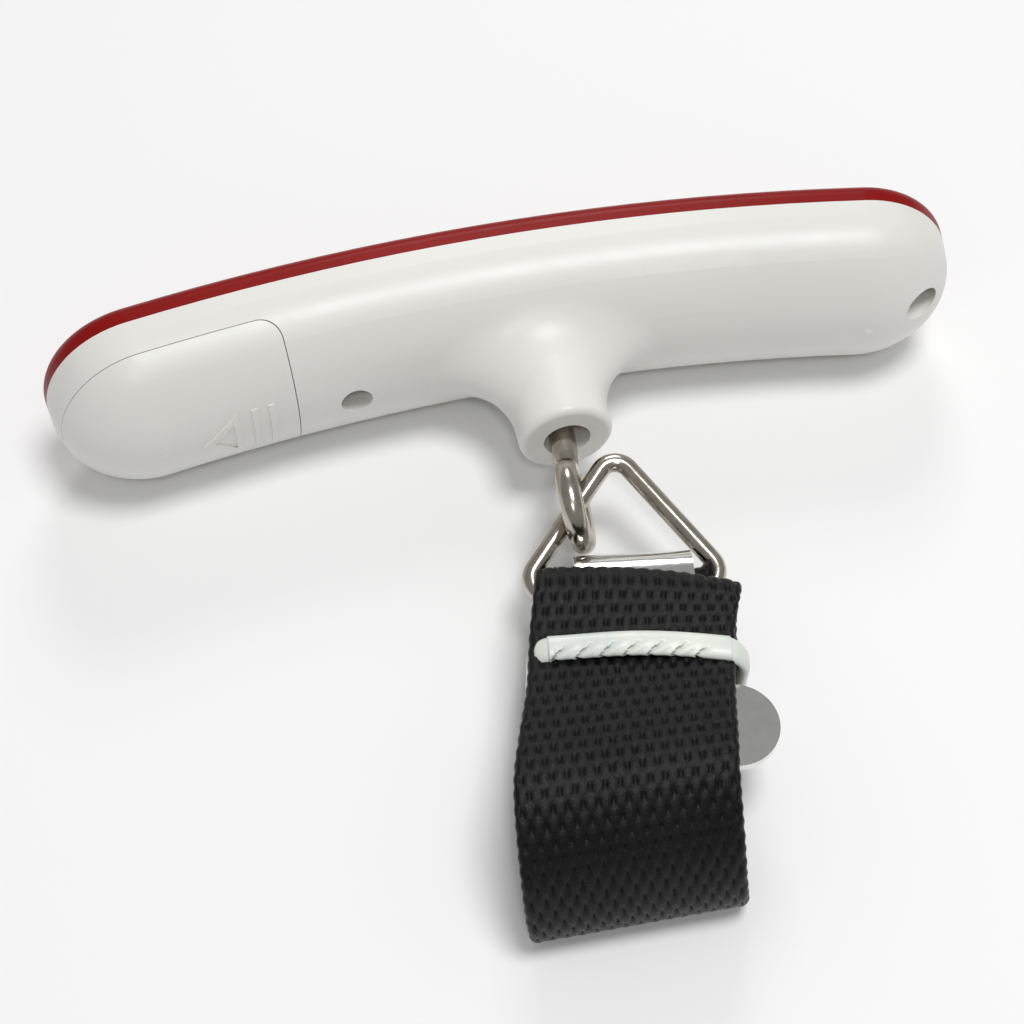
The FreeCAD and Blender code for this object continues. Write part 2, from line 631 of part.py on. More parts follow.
def make_hook():
    shank = rod("HookShank", "Sizes.rod_radius", "Sizes.lean_depth - Sizes.rod_top", y="-Sizes.rod_top")
    knee = DOC.addObject("Part::Sphere", "HookKnee")
    bind(knee, Radius="Sizes.rod_radius")
    spot(knee, y="-Sizes.lean_depth")
    # The leaning part is built straight down from the knee, and then turned as one.
    to_eye = "Sizes.eye_reach - Sizes.eye_radius"
    leg = rod("HookLeg", "Sizes.rod_radius", to_eye + " - 3")
    taper = DOC.addObject("Part::Cone", "HookTaper")
    bind(taper, Radius1="Sizes.rod_radius", Radius2="Sizes.eye_wire", Height="3.4")
    spot(taper, y="3 - (%s)" % to_eye, turn=DOWN_NECK)
    eye = DOC.addObject("Part::Torus", "HookEye")
    bind(eye, Radius1="Sizes.eye_radius", Radius2="Sizes.eye_wire")
    # The ring's own axis lies across the neck, turned a little about it.
    spot(eye, y="-Sizes.eye_reach", turn=FreeCAD.Rotation(Vector(0, 1, 0), 90 + size("eye_turn")))
    lean = spot(
        fused("HookLean", leg, taper, eye), y="-Sizes.lean_depth",
        turn=FreeCAD.Rotation(Vector(0, 0, 1), -size("lean_angle")),
    )
    sub_part("hook", handle_bound(fused("HookFuse", shank, knee, lean), x="Sizes.neck_x"))

    nut = DOC.addObject("Part::Prism", "NutBlank")
    nut.Polygon = 6
    bind(nut, Circumradius="Sizes.nut_flats / sqrt(3)", Height="Sizes.nut_height")
    spot(nut, turn=DOWN_NECK)
    nut = cut("NutCut", nut, rod("NutBore", "Sizes.rod_radius", "9", y="3"))
    washer_top = "-(Sizes.beam_top - 0.05 - Sizes.washer_height"
    sub_part("hook_nut", handle_bound(nut, x="Sizes.neck_x", y=washer_top + " - Sizes.nut_height)"))
    washer = cut(
        "WasherCut", rod("WasherDisc", "Sizes.washer_radius", "Sizes.washer_height"),
        rod("WasherBore", "Sizes.rod_radius", "9", y="3"),
    )
    sub_part("thrust_washer", handle_bound(washer, x="Sizes.neck_x", y=washer_top + ")"))


# ---------------------------------------------------------------- battery


def make_battery():
    radius, depth, thick = size("cell_radius"), size("cell_depth"), size("cell_height")
    can = solid_rod(radius, depth + 0.4, depth + thick)
    rim = [edge for edge in can.Edges if edge.BoundBox.YMax < -depth - thick + 0.01]
    cell = can.makeFillet(0.5, rim).fuse(solid_rod(radius - 1.4, depth, depth + 0.4)).removeSplitter()
    feature("coin_cell", on_arch(cell, size("cell_x")))

    floor = solid_rod(radius + 0.8, depth - 1.3, depth - 0.3)
    wall = solid_rod(radius + 1.2, depth - 1.3, depth + 1.8).cut(solid_rod(radius + 0.15, depth - 2, depth + 3))
    notch = solid_box(-radius - 3, -radius + 3, depth - 0.3, depth + 5, -3.2, 3.2)
    tray = on_arch(floor.fuse(wall).cut(notch), size("cell_x")).common(belly(size("housing_wall")))
    feature("battery_tray", tray.removeSplitter())

    plate = solid_box(-4, 4, depth - 0.3, depth - 0.1, -3, 3)
    finger = solid_box(-1.5, 1.5, depth - 0.1, depth, -1.5, 1.5)
    feature("contact_negative", on_arch(plate.fuse(finger), size("cell_x")))

    upright = solid_box(-radius - 0.3, -radius, depth - 0.3, depth + 2.4, -2.8, 2.8)
    foot = solid_box(-radius, -radius + 2.4, depth - 0.3, depth - 0.1, -2.8, 2.8)
    feature("contact_positive", on_arch(upright.fuse(foot), size("cell_x")))


# ---------------------------------------------------------------- ring and belt


def belt_place(slope=0.0):
    """Frame of the base bar: its own +X along the bar, -Y along the belt, turned by the yaw."""
    turn = FreeCAD.Rotation(Vector(0, 0, 1), size("belt_yaw"))
    turn = turn * FreeCAD.Rotation(Vector(1, 0, 0), slope)
    return FreeCAD.Placement(handle_spot(size("bar_x"), -size("bar_depth"), size("bar_drop")), turn)


def bent_wire(points, bends, radius):
    """A closed round wire through the points, with a centre-line radius at each."""
    count = len(points)
    solids, starts, ends = [], [], []
    for k in range(count):
        before = (points[k - 1] - points[k]).normalize()
        after = (points[(k + 1) % count] - points[k]).normalize()
        half = before.getAngle(after) / 2
        reach = bends[k] / math.tan(half)
        ends.append(points[k] + before * reach)
        starts.append(points[k] + after * reach)
        centre = points[k] + (before + after).normalize() * (bends[k] / math.sin(half))
        disc = Part.Face(Part.Wire(Part.makeCircle(radius, ends[k], before)))
        axis = before.cross(after).normalize() * -1
        solids.append(disc.revolve(centre, axis, 180 - math.degrees(2 * half)))
    for k in range(count):
        run = ends[(k + 1) % count] - starts[k]
        solids.append(Part.makeCylinder(radius, run.Length, starts[k], run))
    return solids[0].fuse(solids[1:]).removeSplitter()


def triangle_ring():
    half = size("ring_base") / 2
    points = [Vector(-half, 0, 0), Vector(half, 0, 0), Vector(0, size("ring_rise"), 0)]
    return bent_wire(points, [size("ring_corner"), size("ring_corner"), size("ring_apex")], size("ring_wire"))


def belt_block():
    """The folded belt's outer form in side view, extruded to the webbing's width."""
    floor = -(size("half_width") + size("bar_drop"))
    under = size("clip_inner") + size("clip_height") + 0.1
    top = size("belt_top")
    end = -size("belt_end")
    # From the lobe above the clip, over the tie's valley and the crest, to the near end.
    over = [
        (-2.0, under), (-0.5, under + 0.9), (-0.4, 7.4), (-2.2, 8.4), (-6.5, 8.1), (-12.3, 7.5),
        (-18.0, 8.4), (-24.0, top - 1.1), (-29.5, top), (-33.5, top - 0.7), (-38.0, top - 4.4),
        (end + 1.3, 1.2), (end, -4.0), (end + 0.7, -7.6), (end + 3.2, floor + 0.3), (end + 6.0, floor),
    ]
    corner = [(-12.0, floor), (-8.2, floor + 1.2), (-6.0, -6.2), (-5.2, -3.4)]

    def curve(points):
        line = Part.BSplineCurve()
        line.interpolate([Vector(0, y, z) for y, z in points])
        return line.toShape()

    def straight(first, last):
        return Part.makeLine(Vector(0, *first), Vector(0, *last))

    outline = Part.Wire(
        [
            curve(over), straight(over[-1], corner[0]), curve(corner),
            straight(corner[-1], (-5.2, under)), straight((-5.2, under), over[0]),
        ]
    )
    block = Part.Face(outline).extrude(Vector(size("belt_width"), 0, 0))
    block.translate(Vector(size("belt_shift") - size("belt_width") / 2, 0, 0))
    # The curves dip a little below the surface that the belt lies on.
    return block.cut(Part.makeBox(80, 80, 5, Vector(-40, -60, floor - 5))), floor


def clip_outline(grow, thick_grow):
    """Clip plate without its hook: a tongue and a wide base with one rounded end."""
    level = size("clip_inner") - thick_grow
    shift, half = size("clip_shift"), size("clip_width") / 2
    near, wide = size("tab_near"), size("tab_width")
    tall = size("clip_height") + 2 * thick_grow
    radius = wide / 2
    tongue = Part.makeBox(
        2 * (half + grow), near + radius + size("clip_reach"), tall,
        Vector(shift - half - grow, -near - radius, level),
    )
    left, right = size("tab_left"), size("tab_right")
    base = Part.makeBox(
        right - radius - left + grow, wide + 2 * grow, tall,
        Vector(left - grow, -near - wide - grow, level),
    )
    end = Part.makeCylinder(radius + grow, tall, Vector(right - radius, -near - radius, level))
    return tongue.fuse([base, end]).removeSplitter()


def clip_slot(grow):
    """The webbing's slot in the clip's base."""
    near, wide = size("tab_near"), size("tab_width")
    length = 22.0 + 2 * grow
    left = size("belt_shift") - length / 2
    return Part.makeBox(length, 2.6 + 2 * grow, 4, Vector(left, -near - wide / 2 - 1.3 - grow, 1.6))


def belt_clip():
    inner, outer = size("clip_inner"), size("clip_inner") + size("clip_height")
    shift, half, reach = size("clip_shift"), size("clip_width") / 2, size("clip_reach")
    plate = clip_outline(0, 0).cut(clip_slot(0))
    # The hook curls from above the base bar round the handle's side of it, and is open below.
    left, right = shift - half, shift + half
    section = [
        Vector(left, reach, inner), Vector(right, reach, inner), Vector(right, reach, outer),
        Vector(left, reach, outer), Vector(left, reach, inner),
    ]
    strip = Part.Face(Part.makePolygon(section))
    hook = strip.revolve(Vector(left, reach, 0), Vector(1, 0, 0), -125)
    return plate.fuse(hook).removeSplitter()


def tie_ring(low):
    """Band round the belt, set into it so that its underside is level with the belt's."""
    start, wide, tall = size("tie_start"), size("tie_width"), size("tie_height")
    span = size("belt_width") + 1.0
    left = size("belt_shift") - span / 2
    high = size("tie_top") - low
    outer = Part.makeBox(span, wide, high, Vector(left, -start - wide, low))
    inner = Part.makeBox(
        span - 2 * tall, wide + 2, high - 2 * tall, Vector(left + tall, -start - wide - 1, low + tall)
    )
    corners = [e for e in outer.Edges if e.BoundBox.YLength > wide - 0.1]
    holes = [e for e in inner.Edges if e.BoundBox.YLength > wide]
    return outer.makeFillet(3.0, corners).cut(inner.makeFillet(3.0 - tall, holes))


def make_belt():
    block, floor = belt_block()
    half = size("loop_width") / 2
    bar_hole = Part.makeCylinder(size("loop_inner"), 60, Vector(-30, 0, 0), Vector(1, 0, 0))
    loop = Part.makeCylinder(size("loop_outer"), 2 * half, Vector(-half, 0, 0), Vector(1, 0, 0))
    web = Part.makeBox(2 * half, 5.4, 2 * size("loop_outer"), Vector(-half, -5.4, -size("loop_outer")))
    strap = block.fuse([web, loop]).cut([bar_hole, clip_outline(0.1, 0.08)])
    # Webbing that passes through the clip's slot joins the layers on its two sides.
    bridge = clip_slot(-0.15).common(clip_outline(0.2, 0.08))
    tie = tie_ring(floor)
    strap = strap.fuse(bridge).cut(tie).removeSplitter()
    feature("webbing_belt", strap, belt_place())
    feature("tie_band", tie, belt_place())
    feature("belt_clip", belt_clip(), belt_place())
    feature("triangle_ring", triangle_ring(), belt_place(size("ring_slope")))


# ---------------------------------------------------------------- build, check and write


def check_and_write():
    DOC.recompute()
    for obj in DOC.Objects:
        if any(word in state for state in obj.State for word in ("Invalid", "Error")):
            raise RuntimeError("%s failed: %s" % (obj.Name, obj.State))
    for obj in NODES:
        if obj.Shape.isNull() or not obj.Shape.isValid() or not obj.Shape.Solids:
            raise RuntimeError("%s has no valid solid" % obj.Label)
    os.makedirs("parts", exist_ok=True)
    for obj in NODES:
        obj.Shape.exportStep("parts/%s.step" % obj.Label)
        bounds = obj.Shape.optimalBoundingBox()
        print(
            "%-18s solids %d volume %9.2f x %7.2f..%7.2f y %7.2f..%7.2f z %6.2f..%6.2f"
            % (obj.Label, len(obj.Shape.Solids), obj.Shape.Volume, bounds.XMin, bounds.XMax, bounds.YMin, bounds.YMax,
               bounds.ZMin, bounds.ZMax)
        )


make_casing()
make_board()
make_display()
make_keys()
make_load_cell()
make_hook()
make_battery()
make_belt()
check_and_write()
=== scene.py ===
import json
import math

import bmesh
import bpy
import numpy as np
from mathutils import Matrix, Vector


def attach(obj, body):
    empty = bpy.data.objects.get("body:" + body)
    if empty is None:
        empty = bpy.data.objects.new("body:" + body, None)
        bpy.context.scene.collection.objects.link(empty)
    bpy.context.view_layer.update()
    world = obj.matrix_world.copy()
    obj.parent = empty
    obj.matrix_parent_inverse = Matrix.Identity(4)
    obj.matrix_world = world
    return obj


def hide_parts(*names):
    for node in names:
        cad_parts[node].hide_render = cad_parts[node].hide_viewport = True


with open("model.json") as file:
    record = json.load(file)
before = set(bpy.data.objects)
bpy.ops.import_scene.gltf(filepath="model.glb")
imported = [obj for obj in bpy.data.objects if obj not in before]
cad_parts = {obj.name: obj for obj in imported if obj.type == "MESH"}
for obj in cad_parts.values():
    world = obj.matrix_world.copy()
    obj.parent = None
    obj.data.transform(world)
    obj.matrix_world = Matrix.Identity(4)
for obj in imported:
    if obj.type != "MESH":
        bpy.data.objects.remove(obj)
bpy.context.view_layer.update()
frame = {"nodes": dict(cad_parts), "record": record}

# A luggage scale that lies on its side. The belt frame has its origin at the middle of the
# ring's base bar, +X along the bar and -Y along the belt. Lengths in it are in millimetres.

MM = 0.001
BELT_YAW = math.radians(-8.65)
BAR_CENTRE = Vector((6.35, -5.34, 10.2))
FLOOR = -BAR_CENTRE.z  # the floor's height in the belt frame


def belt_to_row(points):
    """Belt-frame millimetres to metres in the frame that all pieces share."""
    p = np.asarray(points, float)
    c, s = math.cos(BELT_YAW), math.sin(BELT_YAW)
    x = p[..., 0] * c - p[..., 1] * s + BAR_CENTRE.x
    y = p[..., 0] * s + p[..., 1] * c + BAR_CENTRE.y
    return np.stack([x, y, p[..., 2] + BAR_CENTRE.z], -1) * MM


# ---------------------------------------------------------------- materials
# A noise scale is in cycles per metre, and a bump's depth is in metres.


class Nodes:
    """A material and a short way to write its node tree."""

    def __init__(self, name):
        self.material = bpy.data.materials.new(name)
        self.material.use_nodes = True
        self.tree = self.material.node_tree
        self.surface = self.tree.nodes["Principled BSDF"]
        self.coords = self.add("ShaderNodeTexCoord").outputs["Object"]

    def add(self, kind, inputs=(), **settings):
        node = self.tree.nodes.new(kind)
        for key, value in settings.items():
            setattr(node, key, value)
        for key, value in dict(inputs).items():
            self.put(node, key, value)
        return node

    def put(self, node, key, value):
        """Links a socket to an input, or sets the input's value. Colours have three parts."""
        if isinstance(value, bpy.types.NodeSocket):
            self.tree.links.new(value, node.inputs[key])
        elif isinstance(value, tuple):
            node.inputs[key].default_value = (*value, 1)
        else:
            node.inputs[key].default_value = value

    def set(self, **values):
        """Sets the surface shader's inputs, with _ for each space in a name."""
        for key, value in values.items():
            self.put(self.surface, key.replace("_", " "), value)

    def noise(self, scale, detail=4, rough=0.5):
        inputs = {"Vector": self.coords, "Scale": scale, "Detail": detail, "Roughness": rough}
        return self.add("ShaderNodeTexNoise", inputs).outputs["Fac"]

    def contrast(self, value, low, high):
        """0 below low, 1 above high."""
        node = self.add("ShaderNodeValToRGB", {"Fac": value})
        for mark, place, grey in zip(node.color_ramp.elements, (low, high), (0, 1)):
            mark.position = place
            mark.color = (grey, grey, grey, 1)
        return node.outputs["Color"]

    def span(self, value, low, high):
        """A 0 to 1 value scaled to run from low to high."""
        node = self.add("ShaderNodeMapRange", {"Value": value, "To Min": low, "To Max": high})
        return node.outputs["Result"]

    def blend(self, factor, a, b):
        # The colour sockets of a Mix node are its inputs 6 and 7, and its output 2.
        node = self.add("ShaderNodeMix", {0: factor, 6: a, 7: b}, data_type="RGBA")
        return node.outputs[2]

    def bump(self, height, depth, strength):
        inputs = {"Height": height, "Distance": depth, "Strength": strength}
        return self.add("ShaderNodeBump", inputs).outputs["Normal"]


def srgb(r, g, b):
    """A screen colour, 0 to 255, as linear light."""

    def linear(v):
        v /= 255
        return v / 12.92 if v <= 0.04045 else ((v + 0.055) / 1.055) ** 2.4

    return (linear(r), linear(g), linear(b))


def shade(colour, share):
    return tuple(v * share for v in colour)


def moulded(name, colour, grain, depth, tint, gloss=0.4):
    """Glossy moulded plastic: fine spark-eroded grain, faint mottling and uneven gloss."""
    n = Nodes(name)
    mottle = n.contrast(n.noise(38, 3), 0.3, 0.7)
    n.set(
        Base_Color=n.blend(mottle, shade(colour, 1 - tint), colour),
        Roughness=n.span(n.noise(210), 0.29, 0.41),
        Normal=n.bump(n.noise(grain, 3, 0.6), depth, 0.5),
        Specular_IOR_Level=gloss,
    )
    return n.material


def metal(name, colour, rough, wear, worn=0.8):
    """Plated metal: drawing marks, dull patches and small dents."""
    n = Nodes(name)
    patches = n.noise(420, 5, 0.6)
    scratches = n.noise(900, 6, 0.7)
    n.set(
        Base_Color=n.blend(n.contrast(patches, 0.38, 0.66), shade(colour, worn), colour),
        Metallic=1.0,
        Roughness=n.span(scratches, rough, rough + wear),
        Normal=n.bump(patches, 0.00008, 0.35),
    )
    return n.material


def simple(name, colour, rough, grain=900):
    """Small non-metal pieces: an even fine grain in colour, gloss and relief."""
    n = Nodes(name)
    fine = n.noise(grain)
    n.set(
        Base_Color=n.blend(fine, shade(colour, 0.82), colour),
        Roughness=n.span(n.noise(grain / 3, 3), rough - 0.06, rough + 0.08),
        Normal=n.bump(fine, 0.00002, 0.4),
    )
    return n.material


def webbing_material(name):
    """Black polypropylene: short glossy filaments, with painted shade darkening the valleys
    between the floats.
    """
    n = Nodes(name)
    strands = n.noise(4200, 3, 0.6)
    raised = n.add("ShaderNodeAttribute", attribute_name="raised").outputs["Fac"]
    cloud = n.contrast(n.noise(140, 3), 0.3, 0.7)
    face = n.blend(cloud, srgb(10, 10, 11), srgb(18, 18, 18))
    n.set(
        # Painted shade: where the floats' height (the raised attribute) is low, the colour drops
        # to near black, as if shade fell in the valleys between the floats.
        Base_Color=n.blend(n.contrast(raised, 0.25, 0.8), srgb(4, 4, 5), face),
        Roughness=n.span(strands, 0.22, 0.42),
        Normal=n.bump(strands, 0.00014, 0.7),
        Specular_IOR_Level=0.2,
    )
    return n.material


def window_material(name):
    """Smoke-tinted clear window over the display."""
    n = Nodes(name)
    n.set(
        Base_Color=srgb(70, 80, 76),
        Roughness=0.05,
        Alpha=0.55,
        Coat_Weight=0.4,
        Coat_Roughness=0.03,
        Normal=n.bump(n.noise(60, 2), 0.00002, 0.2),
    )
    return n.material


def tie_material(name):
    """Soft white plastic that lets a little light in."""
    n = Nodes(name)
    cloud = n.contrast(n.noise(120, 3), 0.35, 0.7)
    n.set(
        Base_Color=n.blend(cloud, srgb(214, 219, 214), srgb(234, 235, 225)),
        Roughness=n.span(n.noise(700, 3), 0.28, 0.42),
        Normal=n.bump(n.noise(1500, 3), 0.00002, 0.4),
        Subsurface_Weight=0.08,
        Subsurface_Scale=0.002,
    )
    return n.material


MATERIALS = {
    "shell_white": moulded("shell_white", srgb(229, 228, 223), 3000, 0.00002, 0.03),
    "cover_red": moulded("cover_red", srgb(137, 17, 15), 2400, 0.00001, 0.1, gloss=0.12),
    "webbing_black": webbing_material("webbing_black"),
    "window_clear": window_material("window_clear"),
    "tie_white": tie_material("tie_white"),
}
for name, *look in (
    ("screw_steel", srgb(110, 106, 100), 0.3, 0.15),
    ("bush_brass", srgb(196, 122, 54), 0.3, 0.12),
    ("cell_aluminium", srgb(196, 196, 198), 0.34, 0.1),
    ("hook_nickel", srgb(198, 190, 179), 0.14, 0.12),
    ("battery_can", srgb(196, 196, 194), 0.28, 0.1),
    ("contact_metal", srgb(206, 196, 168), 0.25, 0.1),
    ("clip_metal", srgb(234, 234, 232), 0.1, 0.08, 0.94),
):
    MATERIALS[name] = metal(name, *look)
for name, *look in (
    ("board_green", srgb(24, 86, 50), 0.4),
    ("lcd_glass", srgb(150, 160, 138), 0.25, 200),
    ("frame_white", srgb(205, 205, 200), 0.5),
    ("zebra_rubber", srgb(58, 58, 60), 0.7),
    ("epoxy_black", srgb(16, 16, 18), 0.25),
    ("switch_black", srgb(30, 30, 32), 0.5),
    ("button_grey", srgb(96, 96, 98), 0.6),
    ("gauge_film", srgb(170, 110, 40), 0.4),
):
    MATERIALS[name] = simple(name, *look)

SLOTS = {entry["node"]: entry["material_slot"] for entry in frame["record"]["subparts"]}
for node, obj in frame["nodes"].items():
    obj.data.materials.clear()
    obj.data.materials.append(MATERIALS[SLOTS[node]])

# ---------------------------------------------------------------- meshes


def smooth_curve(points, step):
    """A Catmull-Rom curve through the points, resampled at an even step, and its arc lengths."""
    p = np.asarray(points, float)
    ends = np.vstack([2 * p[0] - p[1], p, 2 * p[-1] - p[-2]])
    t = np.linspace(0, 1, 24, endpoint=False)[:, None]
    spans = []
    for k in range(1, len(ends) - 2):
        a, b, c, d = ends[k - 1 : k + 3]
        square, cube = 2 * a - 5 * b + 4 * c - d, 3 * b - a - 3 * c + d
        spans.append(0.5 * (2 * b + (c - a) * t + square * t**2 + cube * t**3))
    line = np.vstack(spans + [p[-1:]])
    along = np.concatenate([[0], np.cumsum(np.linalg.norm(np.diff(line, axis=0), axis=1))])
    count = max(2, int(round(along[-1] / step)))
    even = np.linspace(0, along[-1], count + 1)
    columns = [np.interp(even, along, line[:, i]) for i in range(line.shape[1])]
    return np.stack(columns, -1), even


def belt_piece(name, slot, points, faces, node=None):
    """A smooth mesh from belt-frame points that moves with the belt."""
    mesh = bpy.data.meshes.new(name)
    mesh.from_pydata([tuple(v) for v in belt_to_row(points)], [], faces)
    mesh.validate()
    mesh.polygons.foreach_set("use_smooth", [True] * len(mesh.polygons))
    mesh.materials.append(MATERIALS[slot])
    obj = bpy.data.objects.new(name, mesh)
    bpy.context.scene.collection.objects.link(obj)
    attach(obj, "belt_body")
    if node:
        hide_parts(node)
    return obj


# ---------------------------------------------------------------- woven webbing

WEB_WIDTH = 27.75
WEB_THICK = 1.6
COLUMN = 1.85  # from one float of yarn to the next across the webbing
ROW = 1.85  # from one row of floats to the next, each shifted by half a column
RELIEF = 0.46  # how far a float stands out
SELVEDGE = 0.9  # how far in from its edges the webbing gets thinner
RAGGED = 0.06  # how far the edges wander with each row
DROOP_CENTRE, DROOP_REACH = -1, 14  # where across the belt the fold's droop is 0 and full


def weave(across, along):
    """Height from 0 to 1 of floats that are laid like bricks."""
    height = np.zeros(np.broadcast(across, along).shape)
    row = np.floor(along / ROW)
    for near in (row - 1, row, row + 1):
        offset = COLUMN / 2 * np.mod(near, 2)
        dx = (np.mod(across - offset, COLUMN) - COLUMN / 2) / (COLUMN / 2)
        dy = (along - (near + 0.5) * ROW) / (ROW * 0.86)
        bump = np.clip(1 - np.abs(dx) ** 2.3 - np.abs(dy) ** 2.6, 0, 1) ** 0.5
        height = np.maximum(height, bump)
    return height


def webbing(name, path, step=8, thick=WEB_THICK, bend=None, node=None):
    """A strip of webbing, with step mesh rows to each row of floats, and its length.

    Each point of the path has the y and z of the strip's middle surface, how far the strip is
    shifted sideways, how far its rows slant along the belt (mm per mm across), its width's share
    and, where the strip shows, how far its corners droop. bend moves points off the strip's
    surface, by their place across it and their share of its length.
    """
    line, along = smooth_curve(path, ROW / step)
    side_view = line[:, :2]
    tangent = np.gradient(side_view, axis=0)
    tangent /= np.linalg.norm(tangent, axis=1)[:, None]
    shift, skew, share = (line[:, k][:, None] for k in (2, 3, 4))
    droop = line[:, 5][:, None] if line.shape[1] > 5 else 0
    across = np.linspace(0, WEB_WIDTH, int(round(WEB_WIDTH / COLUMN * step)) + 1)[None, :]
    along = along[:, None]
    place = across - WEB_WIDTH / 2
    edge = np.clip(np.minimum(across, WEB_WIDTH - across) / SELVEDGE, 0, 1)
    swell = 0.3 + 0.7 * np.sqrt(1 - (1 - edge) ** 2)
    ragged = RAGGED * np.sin(2 * np.pi * along / ROW) * (1 - edge) * np.sign(place)
    x = (place + ragged) * share
    bent = bend(x, along / along[-1]) if bend else 0
    sides, lifts = [], []
    for side, half in ((1, 0), (-1, COLUMN / 2)):  # the back's floats are half a column over
        lift = weave(across + half, along)
        out = side * (thick / 2 - RELIEF + RELIEF * lift) * swell + bent
        y = side_view[:, :1] - tangent[:, 1:] * out + skew * x
        y -= droop * ((x - DROOP_CENTRE) / DROOP_REACH) ** 2
        z = side_view[:, 1:] + tangent[:, :1] * out
        sides.append(np.stack([x + shift, y, z], -1))
        lifts.append(lift.ravel())
    n, m = x.shape
    grid = np.arange(n * m).reshape(n, m)
    back = grid + n * m
    faces = []

    def quads(a, b, c, d):
        faces.extend(np.stack([a.ravel(), b.ravel(), c.ravel(), d.ravel()], -1).tolist())

    quads(grid[:-1, :-1], grid[:-1, 1:], grid[1:, 1:], grid[1:, :-1])
    quads(back[:-1, :-1], back[1:, :-1], back[1:, 1:], back[:-1, 1:])
    quads(grid[:-1, 0], grid[1:, 0], back[1:, 0], back[:-1, 0])
    quads(grid[:-1, -1], back[:-1, -1], back[1:, -1], grid[1:, -1])
    quads(grid[0, :-1], back[0, :-1], back[0, 1:], grid[0, 1:])
    quads(grid[-1, :-1], grid[-1, 1:], back[-1, 1:], back[-1, :-1])
    points = np.concatenate([side.reshape(-1, 3) for side in sides])
    obj = belt_piece(name, "webbing_black", points, faces, node)
    # The floats' height, which the webbing's material uses to paint shade into the valleys between
    # the floats.
    raised = obj.data.attributes.new("raised", "FLOAT", "POINT")
    raised.data.foreach_set("value", np.concatenate(lifts))
    return obj, float(along[-1, 0])


# The strap's visible run: tucked under at the handle's side, over the fold, through the tie,
# over the crest, down the near end and back along the underside.
OUTER = [
    (-15.0, 5.3, -0.6, 0.0, 0.96, 0), (-9.0, 5.2, -0.2, 0.0, 0.95, 0.4),
    (-2.9, 5.2, 0.6, -0.08, 0.95, 1.2), (-1.2, 5.9, 0.8, -0.12, 0.95, 1.3),
    (-1.4, 7.2, 0.9, -0.12, 0.95, 1.3), (-3.3, 7.8, 0.6, -0.09, 0.95, 1.0),
    (-6.5, 7.3, 0.0, -0.04, 0.95, 0.5), (-9.5, 6.8, -0.5, 0.0, 0.95, 0.1),
    (-12.5, 6.85, -0.9, 0.03, 0.95, 0), (-17.0, 7.6, -1.5, 0.05, 0.95, 0),
    (-23.0, 8.9, -2.5, 0.07, 0.97, 0), (-28.5, 10.0, -3.3, 0.09, 0.99, 0),
    (-32.5, 9.6, -3.6, 0.1, 0.99, 0), (-36.5, 7.1, -3.5, 0.11, 0.99, 0),
    (-40.0, 3.4, -3.2, 0.12, 0.99, 0), (-42.3, -1.0, -2.8, 0.12, 0.99, 0),
    (-43.0, -5.0, -2.3, 0.12, 0.99, 0), (-41.8, -8.3, -1.9, 0.12, 0.99, 0),
    (-38.0, -9.35, -1.7, 0.1, 0.99, 0), (-28.0, -9.35, -1.4, 0.05, 0.97, 0),
    (-15.0, -9.35, -1.0, 0.0, 0.95, 0), (-10.0, -8.6, -0.6, 0.0, 0.93, 0),
    (-7.0, -5.6, 0.2, 0.0, 0.86, 0), (-4.2, -2.6, 0.6, 0.0, 0.8, 0),
]
# The turns inside it, between the clip and the floor side, from the outside in.
INNER = [
    (-9.0, 2.0, 0, 0, 0.9), (-6.6, 0.3, 0, 0, 0.92), (-7.2, -3.0, 0, 0, 0.95),
    (-9.0, -6.2, -0.5, 0, 0.95), (-13.0, -7.6, -1.0, 0, 0.95), (-28.0, -7.6, -1.6, 0.03, 0.96),
    (-36.8, -7.5, -2.0, 0.06, 0.97), (-40.4, -5.2, -2.4, 0.06, 0.97),
    (-39.9, -1.2, -2.8, 0.06, 0.97), (-37.6, 2.6, -3.0, 0.07, 0.97),
    (-34.0, 6.0, -3.3, 0.08, 0.97), (-30.5, 7.3, -3.3, 0.08, 0.97),
    (-27.0, 6.6, -3.0, 0.07, 0.97), (-22.6, 3.6, -1.0, 0, 0.86), (-20.0, 1.6, -0.6, 0, 0.86),
    (-14.0, 0.6, -0.4, 0, 0.86), (-9.0, 0.2, 0, 0, 0.86),
]
CORE = [
    (-9.6, -1.6, -0.5, 0, 0.94), (-10.4, -4.2, -0.6, 0, 0.94), (-14.0, -5.9, -1.0, 0, 0.94),
    (-28.0, -5.9, -1.4, 0.03, 0.94), (-35.6, -5.6, -2.0, 0.04, 0.94),
    (-38.0, -3.4, -2.2, 0.05, 0.94), (-36.6, 0.6, -2.4, 0.06, 0.94),
    (-33.2, 3.6, -2.8, 0.07, 0.94), (-30.2, 4.4, -2.8, 0.07, 0.94),
    (-27.4, 2.4, -2.6, 0.06, 0.94), (-24.0, -0.8, -1.6, 0, 0.94), (-13.0, -1.4, -0.6, 0, 0.94),
]
# The narrow loop round the ring's base bar.
LOOP_RADIUS = 2.1
LOOP_SHARE = 0.76
BAR_HALF = 7.8  # the base bar's straight part, from its middle
CORNER_RADIUS = 2.6  # of the ring's bends at its ends
LOOP = [(-9.5, -2.9, 0, 0, LOOP_SHARE), (-4.0, -2.3, 0.6, 0, LOOP_SHARE)]
for turn in np.radians((-80, -40, 0, 40, 80)):
    LOOP.append((LOOP_RADIUS * math.cos(turn), LOOP_RADIUS * math.sin(turn), 1.0, 0, LOOP_SHARE))
LOOP += [(-3.0, 1.9, 0.8, 0, LOOP_SHARE), (-6.5, 1.3, 0.4, 0, LOOP_SHARE)]
LOOP += [(-10.0, 1.2, 0, 0, LOOP_SHARE)]


def round_corner(x, share):
    """Bends the loop's edges away over the ring's bent corners."""
    over = np.clip(np.abs(x) - BAR_HALF, 0, 2.4)
    drop = CORNER_RADIUS - np.sqrt(CORNER_RADIUS**2 - over**2)
    return -0.9 * drop * np.sin(np.pi * share)


